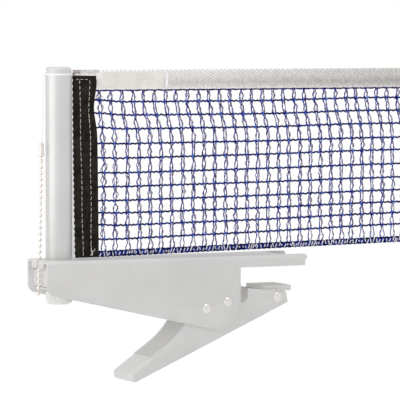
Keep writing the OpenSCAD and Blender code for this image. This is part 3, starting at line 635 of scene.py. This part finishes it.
def tapeFinish(name, look, wornScale=420, lintScale=2600):
    # twill ribs that change direction from band to band, under painted shade: a darker band along the tape
    # and a tone that darkens to the right
    material, tree, shader, spot = startMaterial(name)
    parts = axes(tree, spot)
    rise = maths(tree, "SUBTRACT", parts["Z"], netSetup["tapeLow"] * mm)
    fold = maths(tree, "PINGPONG", rise, look["band"] * mm)
    slant = maths(tree, "SUBTRACT", parts["X"], maths(tree, "MULTIPLY", fold, look["slant"]))
    # painted shade: the tape is darker in a band at this height, where a fold would shade it
    height = maths(tree, "SUBTRACT", parts["Z"], look["paintedShadeZ"] * mm)
    away = maths(tree, "MULTIPLY", maths(tree, "ABSOLUTE", height), 200)
    # the ribs die out towards the band of painted shade
    ribs = maths(tree, "MULTIPLY", waves(tree, slant, look["twill"]), spread(tree, away, 0.05, 0.9))
    worn = spread(tree, noise(tree, spot, wornScale, 4, 0.6), 0.28, 0.8)
    # painted shade: the band, and a tone that darkens to the right as less light falls there
    paintedShade = maths(tree, "SUBTRACT", spread(tree, away, -0.12, 0.07),
                 maths(tree, "MULTIPLY", parts["X"], look["paintedShade"]))
    mixed = maths(tree, "ADD", maths(tree, "ADD", maths(tree, "MULTIPLY", ribs, 0.16), worn), paintedShade)
    lint = bump(tree, noise(tree, spot, lintScale), 0.05, 0.5)
    feed(tree, shader, {
        "Base Color": ramp(tree, mixed, (0.1, 0.95), look["shades"]),
        "Normal": bump(tree, ribs, 0.08, 0.6, lint),
        "Roughness": look["rough"],
        "Sheen Weight": 0.1,
    })
    return material


def tapeHalf(z):
    # half the tape's thickness at a height
    setup = tapeSetup
    if z > setup["rollZ"]:
        return math.sqrt(max(setup["roll"] ** 2 - (z - setup["rollZ"]) ** 2, 0))
    full = ease((z - setup["taperLow"]) / (setup["rollZ"] - setup["taperLow"]))
    return setup["flat"] + (setup["roll"] - setup["flat"]) * full


def tapeShape(u, v):
    setup = tapeSetup
    radius = setup["roll"] - setup["ply"] / 2
    low, top = netSetup["tapeLow"], setup["rollZ"]
    side, share = folded(u, setup["face"])
    if side:
        z = low + (top - low) * share
        y = side * (tapeHalf(z) - setup["ply"] / 2)
    else:
        y, z = -radius * math.cos(math.pi * share), top + radius * math.sin(math.pi * share)
    # the rolled top runs on over the sleeve, the rest is tucked under its edge
    begin = setup["start"] if z > sleeveSetup["top"] else sleeveEdge(z) - setup["tuck"]
    x = begin + (netSetup["end"] - begin) * v
    if z < low + setup["waverHeight"]:
        z += setup["waver"] * math.sin(x / setup["waverPace"])
    return x, y, z


tape = shapedGrid("headTape", 44, 190, tapeShape)
thicken(tape, tapeSetup["ply"])
finishPiece(tape, "post", tapeFinish("tapeCloth", tapeSetup), ["head_tape"])

patchSetup = {
    "left": -107.4, "length": 50.9, "low": 138.1, "height": 13.1, "off": 0.14, "hem": 0.12, "hemIn": 0.7,
    "ripple": 0.03, "ripplePace": 2.3, "ply": 0.25,
    "shades": ((216, 212, 207), (232, 229, 224)), "weave": 9500, "patches": 120, "depth": 0.02,
    "rough": 0.65, "sheen": 0.05,
}


def patchShape(u, v):
    # lies on the near face, a little raised along its two short hems
    setup = patchSetup
    x = setup["left"] + setup["length"] * u
    z = setup["low"] + setup["height"] * v
    lift = setup["hem"] * hump(min(u, 1 - u) * setup["length"], setup["hemIn"], setup["hemIn"])
    ripple = setup["ripple"] * math.sin(x / setup["ripplePace"])
    return x, -tapeHalf(z) - setup["off"] - lift - ripple, z


patch = shapedGrid("tapePatch", 60, 18, patchShape)
thicken(patch, patchSetup["ply"])
finishPiece(patch, "post", clothFinish("patchCloth", patchSetup), ["tape_patch"])


def aroundRoll(turn, reach):
    # a place round the roll's middle, y first
    return -reach * math.sin(turn), tapeSetup["rollZ"] + reach * math.cos(turn)


wrapSetup = {"strands": 8, "in": 0.4, "length": 19.8, "steps": 30, "turnSteps": 9, "reach": 2.08,
             "swell": 0.12, "swellPace": 1.7}


def rollStrands(first):
    # every other strand of the wrap where the roll runs over the sleeve
    setup = wrapSetup
    runs = []
    for strand in range(first, setup["strands"], 2):
        run = []
        for step in range(setup["steps"] + 1):
            x = tapeSetup["start"] + setup["in"] + setup["length"] * step / setup["steps"]
            turn = 2 * math.pi * (step / setup["turnSteps"] + strand / setup["strands"])
            reach = setup["reach"] + setup["swell"] * math.sin(step * setup["swellPace"] + strand)
            run.append((x, *aroundRoll(turn, reach)))
        runs.append(run)
    return runs


fibreSetup = {
    "radius": 0.24, "seams": ((-108.6, (0, 0.35, 0.7)), (-54.6, (0, 0.35, 0.7, 1.05, 1.4))),
    "seamHeights": (138.6, 140.6, 142.6, 144.6, 146.6, 148.4), "loopsFrom": -104.0, "loopsTo": 156,
    "loopRise": (0.4, 2.4), "loopPitch": (2.2, 5),
}


def makeTapeFibres():
    dice = random.Random(9)
    setup = fibreSetup
    runs = []
    # white seams at the patch's two ends
    for x, rows in setup["seams"]:
        for z in setup["seamHeights"]:
            face = -tapeHalf(z + 1)
            for row in rows:
                left, low = x + row + dice.uniform(-0.1, 0.1), z + dice.uniform(-0.2, 0.2)
                runs.append([(left, face, low), (left, face - 0.55, low + 0.3),
                             (left + 0.15, face - 0.6, low + 1.6), (left + 0.2, face - 0.1, low + 1.9)])
    # pale half of the wrap
    runs += rollStrands(0)
    # loose loops along the tape's lower edge
    x, edge = setup["loopsFrom"], netSetup["tapeLow"]
    while x < setup["loopsTo"]:
        rise = dice.uniform(*setup["loopRise"])
        runs.append([(x, -0.8, edge + 0.4), (x + 0.6, -1.1, edge + 0.5 + rise),
                     (x + 1.4, -1.1, edge + 0.4 + rise / 2), (x + 1.9, -0.8, edge)])
        x += dice.uniform(*setup["loopPitch"])
    return threads("tapeFibres", runs, setup["radius"])


tapeFibres = makeTapeFibres()
finishPiece(tapeFibres, "post", weltCloth)

fraySetup = {
    "radius": 0.22, "loops": 15, "loopPitch": 0.3, "loopReach": (1.9, 2.25), "loopLean": (-0.9, 0.9),
    "strands": 22, "strandReach": (0.9, 1.9), "strandIn": (0.2, 3.4), "strandOut": (0.3, 0.9),
    "shades": ((58, 42, 38), (170, 150, 140)), "weave": 9000, "patches": 480, "depth": 0.03,
    "rough": 0.9, "sheen": 0.03, "gloss": 0.1,
}


def makeFrayedEnd():
    dice = random.Random(12)
    setup = fraySetup
    # dark half of the wrap
    runs = rollStrands(1)
    # slanting turns of loose thread at the roll's end
    for loop in range(setup["loops"]):
        x = tapeSetup["start"] + setup["loopPitch"] * loop
        reach, lean = dice.uniform(*setup["loopReach"]), dice.uniform(*setup["loopLean"])
        runs.append([(x + lean * math.cos(k * math.pi / 4), *aroundRoll(k * math.pi / 4, reach))
                     for k in range(9)])
    # short ends that stick out of it
    for _ in range(setup["strands"]):
        turn = dice.uniform(0, 2 * math.pi)
        reach = dice.uniform(*setup["strandReach"])
        y, z = -reach * math.sin(turn), tapeSetup["rollZ"] + reach * math.cos(turn) * 0.9
        x = tapeSetup["start"] + dice.uniform(*setup["strandIn"])
        runs.append([(x + 1.5, y, z), (x, y * 1.05, z + dice.uniform(-0.3, 0.3)),
                     (x - dice.uniform(*setup["strandOut"]), y * 1.1, z + dice.uniform(-0.6, 0.6))])
    return threads("frayedEnd", runs, setup["radius"])


frayedEnd = makeFrayedEnd()
finishPiece(frayedEnd, "post", clothFinish("frayCloth", fraySetup))
print("head tape folded")

# knotless net: where its columns and strings run, row by row from the tape to the hem
meshSetup = {
    "first": -108.9, "pitch": 9.1, "columns": 30, "apart": 0.9,
    "lean": 5.4, "leanTop": 130.5, "leanLow": 99, "firstLean": 0.55, "leanIn": 3, "leanOut": 2.5,
    "leftHeights": (137.9, 129.7, 119.8, 108.9, 96.8, 85.8, 74.4, 63.7, 53.2, 43.9, 34.7, 23.6, 13.2),
    "rightHeights": (137.9, 129.2, 119.1, 108.9, 97.8, 88.1, 77.0, 66.3, 56.2, 46.7, 38.1, 29.2, 17.8),
    "sag": (0.2, 1.5, 1.7, 1.4, 0.7, 0.8, 0.6, 0.4, 0.5, 0.8, 1.0, 0.5, 0),
    "slackIn": 0.09, "slackEnd": 0.5, "slackOut": 0.36,
}
twineLooks = {
    "blueTwine": {"shades": ((14, 14, 70), (42, 48, 156), (104, 108, 208)), "patches": 420},
    "paleTwine": {"shades": ((52, 40, 88), (132, 114, 162), (186, 172, 198)), "patches": 420},
    "navyTwine": {"shades": ((3, 4, 32), (10, 13, 84), (26, 42, 160)), "patches": 300},
    # turns of twine at the crossings, paler than the rest: a painted highlight
    "brightTwineHighlight": {"shades": ((30, 52, 156), (62, 104, 210), (112, 152, 234)), "patches": 300},
}


def twineFinish(name, look):
    material, tree, shader, spot = startMaterial(name)
    lay = waves(tree, threadRun(tree, spot), 9000)
    cloud = noise(tree, spot, look["patches"], 3, 0.6)
    mixed = maths(tree, "ADD", maths(tree, "MULTIPLY", lay, 0.1), cloud)
    feed(tree, shader, {
        "Base Color": ramp(tree, mixed, (0.3, 0.52, 0.72), look["shades"]),
        "Normal": bump(tree, lay, 0.08, 0.8),
        "Roughness": 0.8,
        "Specular IOR Level": 0.1,
        "Sheen Weight": 0.03,
    })
    return material


twines = {name: twineFinish(name, look) for name, look in twineLooks.items()}


def stringZ(row, x):
    # the strings hang slack from soon after the sleeve to past the jaw
    share = netShare(x)
    left, right = meshSetup["leftHeights"][row], meshSetup["rightHeights"][row]
    slack = ease(share / meshSetup["slackIn"])
    slack *= 1 - ease((share - meshSetup["slackEnd"]) / meshSetup["slackOut"])
    return left + (right - left) * share - meshSetup["sag"][row] * slack


def columnX(column, z):
    # the columns lean over in the upper rows, least at the net's two ends
    setup = meshSetup
    drop = ease((setup["leanTop"] - z) / (setup["leanTop"] - setup["leanLow"]))
    share = setup["firstLean"] + (1 - setup["firstLean"]) * ease(column / setup["leanIn"])
    share *= ease((setup["columns"] + 0.2 - column) / setup["leanOut"])
    return setup["first"] + setup["pitch"] * column + setup["lean"] * drop * share


def crossing(column, row):
    x = meshSetup["first"] + meshSetup["pitch"] * column
    for _ in range(3):
        x = columnX(column, stringZ(row, x))
    return x, stringZ(row, x)


strandSetup = {
    "radius": 0.34, "fine": 0.3, "steps": 8, "bulge": 0.5, "weave": 0.42, "tail": (0.5, 0.6),
    "shift": 0.3, "wander": 0.6, "jitter": 0.2, "twist": (0, 0.6), "peak": (0.5, 0.76),
    "swell": (-0.4, 1.8), "swellWidth": 0.18, "pinch": (-0.2, 1.1), "pinchWidth": 0.16, "pinchBefore": 0.34,
    "cords": (("blue", -1, 0), ("navy", -1, 1), ("navy", 1, 0), ("pale", 1, 1), ("pale", 1, 0)),
}


def strandRun(dice, column, knots, wander, side, ply):
    # one strand, drawn together with its cord below a string and swelling above the next
    setup = strandSetup
    steps, lastRow = setup["steps"], len(knots) - 2
    reach = setup["bulge"] * (2 if column < 2 else 1)
    run = []
    for row, ((x0, z0), (x1, z1)) in enumerate(zip(knots, knots[1:])):
        swell = side * reach * dice.uniform(*setup["swell"])
        pinch = side * dice.uniform(*setup["pinch"])
        twist = (1 if ply else -1) * dice.uniform(*setup["twist"])
        peak = dice.uniform(*setup["peak"])
        if row == lastRow:
            swell, pinch, twist = side + swell * 0.2, 0, twist * 0.5
        weave = side * setup["weave"] * (1 if (row + column) % 2 else -1)
        for step in range(steps):
            share = step / steps
            x = x0 + (x1 - x0) * share + side * meshSetup["apart"]
            x += swell * hump(share, peak, setup["swellWidth"])
            x -= pinch * hump(share, peak - setup["pinchBefore"], setup["pinchWidth"])
            x += twist * math.sin(3 * math.pi * share) + wander[row] * math.sin(math.pi * share)
            x += dice.uniform(-setup["jitter"], setup["jitter"])
            run.append((x, weave * math.cos(math.pi * share), z0 + (z1 - z0) * share))
    return run


def makeStrands():
    # a column is two cords of two or three strands, which end in the hem
    dice = random.Random(21)
    setup = strandSetup
    runs = {"blue": [], "navy": [], "pale": []}
    for column in range(meshSetup["columns"]):
        knots = [crossing(column, row) for row in range(len(meshSetup["sag"]))]
        shifted = [(x + dice.uniform(-setup["shift"], setup["shift"]), z) for x, z in knots]
        wander = [dice.uniform(-setup["wander"], setup["wander"]) for _ in knots]
        (endX, endZ), (aside, down) = knots[-1], setup["tail"]
        for kind, side, ply in setup["cords"]:
            run = strandRun(dice, column, shifted, wander, side, ply)
            runs[kind].append(run + [(endX + side * aside, 0, endZ - down)])
    return runs


knotSetup = {"radius": 0.44, "sink": 0.5, "rise": 0.85, "lean": 0.4, "reach": (0.8, 1.7)}


def makeKnots():
    # turns of twine over each crossing, on both faces, in a paler blue that is a painted highlight
    dice = random.Random(8)
    setup = knotSetup
    runs = []
    for column in range(meshSetup["columns"]):
        for row in range(1, len(meshSetup["sag"]) - 1):
            x, z = crossing(column, row)
            for face in (-1, 1):
                lean = dice.uniform(-setup["lean"], setup["lean"])
                spot = x + dice.choice((-1, 1)) * meshSetup["apart"]
                runs.append([(spot - lean, face * setup["sink"], z + dice.uniform(*setup["reach"])),
                             (spot, face * setup["rise"], z + 0.1),
                             (spot + lean, face * setup["sink"], z - dice.uniform(*setup["reach"]))])
    return runs


stringSetup = {"radius": 0.74, "wave": 0.32, "wavePace": 0.62, "jitter": 0.18, "step": (0.6, 0.9),
               "under": 2.2, "firstX": -112, "firstZ": 136.95}


def makeStrings():
    dice = random.Random(33)
    setup = stringSetup
    end = netSetup["end"]
    runs = []
    for row in range(1, len(meshSetup["sag"]) - 1):
        run = []
        x = sleeveEdge(stringZ(row, sleeveSetup["right"])) - setup["under"]
        phase = dice.uniform(0, 6)
        while x < end:
            wave = setup["wave"] * math.sin(x / setup["wavePace"] + 1.5 * math.sin(x / 7 + phase))
            wave += dice.uniform(-setup["jitter"], setup["jitter"])
            run.append((x, 0.12 * math.cos(x / 1.3 + phase), stringZ(row, x) + wave))
            x += dice.uniform(*setup["step"])
        runs.append(run + [(end, 0, stringZ(row, end))])
    # first string, caught along the tape's lower edge
    runs.append([(x, 0.1 * math.sin(x), setup["firstZ"] + 0.25 * math.sin(x / 1.1))
                 for x in range(setup["firstX"], end + 1, 2)])
    return runs


strandRuns = makeStrands()
net = threads("netStrands", strandRuns["blue"], strandSetup["radius"])
netDark = threads("netDarkStrands", strandRuns["navy"], strandSetup["fine"], rounding=0)
netPale = threads("netPaleStrands", strandRuns["pale"], strandSetup["fine"], rounding=0)
netKnots = threads("netKnots", makeKnots(), knotSetup["radius"])
netStrings = threads("netStrings", makeStrings(), stringSetup["radius"])
finishPiece(netDark, "post", twines["navyTwine"])
finishPiece(netPale, "post", twines["paleTwine"])
finishPiece(netKnots, "post", twines["brightTwineHighlight"])
finishPiece(netStrings, "post", twines["navyTwine"])
finishPiece(net, "post", twines["blueTwine"], ["net_mesh"])
print("net strung")

# hem, an overlocked edge: a dark core under slanting stitches in three colours
hemSetup = {
    "middle": 2.3, "rise": 4.6, "half": 2.2, "coreHalf": 1.87, "depth": 0.8, "coreDepth": 0.64,
    "tuck": 1.5, "margin": 1.8, "thread": 0.3, "paleThread": 0.48, "paleOut": 0.15,
    "pitch": (0.3, 0.6), "lean": (0.4, 1.2), "low": (-0.95, -0.2), "high": (0.2, 0.95),
    "palePitch": (1.3, 3), "paleLeans": (-0.5, 0.9, 1.1), "edge": 2,
    "looks": {
        "hemCloth": {"shades": ((6, 8, 34), (22, 34, 100)), "weave": 6000, "patches": 500, "depth": 0.05,
                     "rough": 0.85, "sheen": 0.02, "gloss": 0.08},
        "hemBlue": {"shades": ((22, 40, 140), (52, 96, 214)), "weave": 9000, "patches": 700, "depth": 0.03,
                    "rough": 0.8, "sheen": 0.03, "gloss": 0.1},
        "hemWhite": {"shades": ((196, 192, 190), (244, 242, 240)), "weave": 9000, "patches": 700,
                     "depth": 0.03, "rough": 0.8, "sheen": 0.1},
    },
}
hemCloths = {name: clothFinish(name, look) for name, look in hemSetup["looks"].items()}


def hemMiddle(x):
    # the hem climbs to the right
    return netSetup["low"] + hemSetup["middle"] + hemSetup["rise"] * netShare(x)


def hemShape(u, v):
    begin = sleeveEdge(netSetup["low"]) - hemSetup["tuck"]
    x = begin + (netSetup["end"] - begin) * v
    turn = 2 * math.pi * u
    depth = hemSetup["coreDepth"] * (1 + 0.1 * math.sin(x * 2.4))
    return x, depth * math.sin(turn), hemMiddle(x) - hemSetup["coreHalf"] * math.cos(turn)


hem = shapedGrid("netHem", 14, 180, hemShape)
mergeFaces(hem)
bpy.ops.object.shade_smooth()
finishPiece(hem, "post", hemCloths["hemCloth"], ["net_hem"])


def makeHemLoops():
    # slanting stitches on both faces, sorted by the colour of their thread
    dice = random.Random(50)
    setup = hemSetup
    loops = {"navy": [], "blue": [], "white": []}
    for face in (-1, 1):
        x = sleeveEdge(netSetup["low"]) + 0.4
        nextWhite = x + 1
        while x < netSetup["end"] - setup["margin"]:
            kind = dice.choice(("navy", "navy", "blue"))
            lean = dice.choice((-1, 1)) * dice.uniform(*setup["lean"])
            low, high = dice.uniform(*setup["low"]), dice.uniform(*setup["high"])
            out = setup["depth"] + 0.1
            if x > nextWhite:
                # a pale stitch stands out on its own
                kind, lean, out = "white", dice.choice(setup["paleLeans"]), out + setup["paleOut"]
                nextWhite = x + dice.uniform(*setup["palePitch"])
            loops[kind].append([(x + lean * spot, face * out * math.cos(spot * 1.1),
                                 hemMiddle(x) + setup["half"] * spot)
                                for spot in (low, low / 2, 0, high / 2, high)])
            x += dice.uniform(*setup["pitch"])
    # dark thread along both edges
    for side in (-setup["edge"], setup["edge"]):
        for face in (-0.3, 0.3):
            loops["navy"].append([(x, face + 0.2 * math.sin(x / 0.8),
                                   hemMiddle(x) + side + 0.25 * math.sin(x / 0.7 + face))
                                  for x in range(-110, netSetup["end"])])
    return loops


hemLoops = makeHemLoops()
wrapNavy = threads("hemLoopsNavy", hemLoops["navy"], hemSetup["thread"], rounding=0)
wrapBlue = threads("hemLoopsBlue", hemLoops["blue"], hemSetup["thread"], rounding=0)
wrapWhite = threads("hemLoopsWhite", hemLoops["white"], hemSetup["paleThread"], rounding=0)
finishPiece(wrapNavy, "post", twines["navyTwine"])
finishPiece(wrapBlue, "post", hemCloths["hemBlue"])
finishPiece(wrapWhite, "post", hemCloths["hemWhite"])
print("hem sewn")

# lamps aim at the clamp; sizes and places in metres, power in watts
lightSetup = {
    "strip": {"place": (-1.75, -0.2, 0.25), "size": (1.7, 1.6), "power": 12, "highlight": True},
    "front": {"place": (-1.3, -2.15, 0.3), "size": (1.2, 0.9), "power": 5.8, "shadow": True},
    "fill": {"place": (2.1, -0.95, 0.3), "size": (1.4, 1), "power": 9.5},
    "top": {"place": (-0.3, -0.3, 1.9), "size": (1.4, 1.4), "power": 13, "highlight": True},
}
stageSetup = {"aim": (-0.03, 0, 0.04), "ambient": 0.65, "floorSize": 9, "floorZ": -0.45,
              "floorShade": (250, 250, 250), "floorGlow": 1.08, "glowShare": 0.85}
for name, setup in lightSetup.items():
    bpy.ops.object.light_add(type="AREA", location=setup["place"])
    lamp = bpy.context.object
    lamp.name = name + "Light"
    lamp.data.shape = "RECTANGLE"
    lamp.data.size, lamp.data.size_y = setup["size"]
    lamp.data.energy = setup["power"]
    aim = Vector(stageSetup["aim"]) - Vector(setup["place"])
    lamp.rotation_euler = aim.to_track_quat("-Z", "Y").to_euler()
    # one lamp throws the shadow, so that recesses stay pale
    lamp.visible_glossy = setup.get("highlight", False)
    lamp.data.use_shadow = setup.get("shadow", False)


def seenDirectly(tree):
    # 1 for what the camera sees, also through glass and in reflections, and 0 for light on the object
    rays = tree.nodes.new("ShaderNodeLightPath").outputs
    seen = maths(tree, "MAXIMUM", rays["Is Camera Ray"], rays["Is Glossy Ray"])
    return maths(tree, "MAXIMUM", seen, rays["Is Transmission Ray"])


world = bpy.data.worlds.new("studio")
scene.world = world
world.use_nodes = True
worldTree = world.node_tree
feed(worldTree, worldTree.nodes["Background"], {
    "Color": (1, 1, 1, 1),
    "Strength": spread(worldTree, seenDirectly(worldTree), stageSetup["ambient"], 1),
})

bpy.ops.mesh.primitive_plane_add(size=stageSetup["floorSize"], location=(0, 0, stageSetup["floorZ"]))
floor = bpy.context.object
floor.name = "floor"
floorFinish, floorTree, floorShader, _ = startMaterial("floorWhite")
feed(floorTree, floorShader, {"Base Color": linear(*stageSetup["floorShade"]), "Roughness": 0.9})
glow = addNode(floorTree, "ShaderNodeEmission", {"Color": (1, 1, 1, 1), "Strength": stageSetup["floorGlow"]})
glowing = maths(floorTree, "MULTIPLY", seenDirectly(floorTree), stageSetup["glowShare"])
blend = addNode(floorTree, "ShaderNodeMixShader",
                {"Fac": glowing, 1: floorShader.outputs["BSDF"], 2: glow.outputs["Emission"]})
feed(floorTree, floorTree.nodes["Material Output"], {"Surface": blend.outputs["Shader"]})
floor.data.materials.append(floorFinish)
print("stage lit")
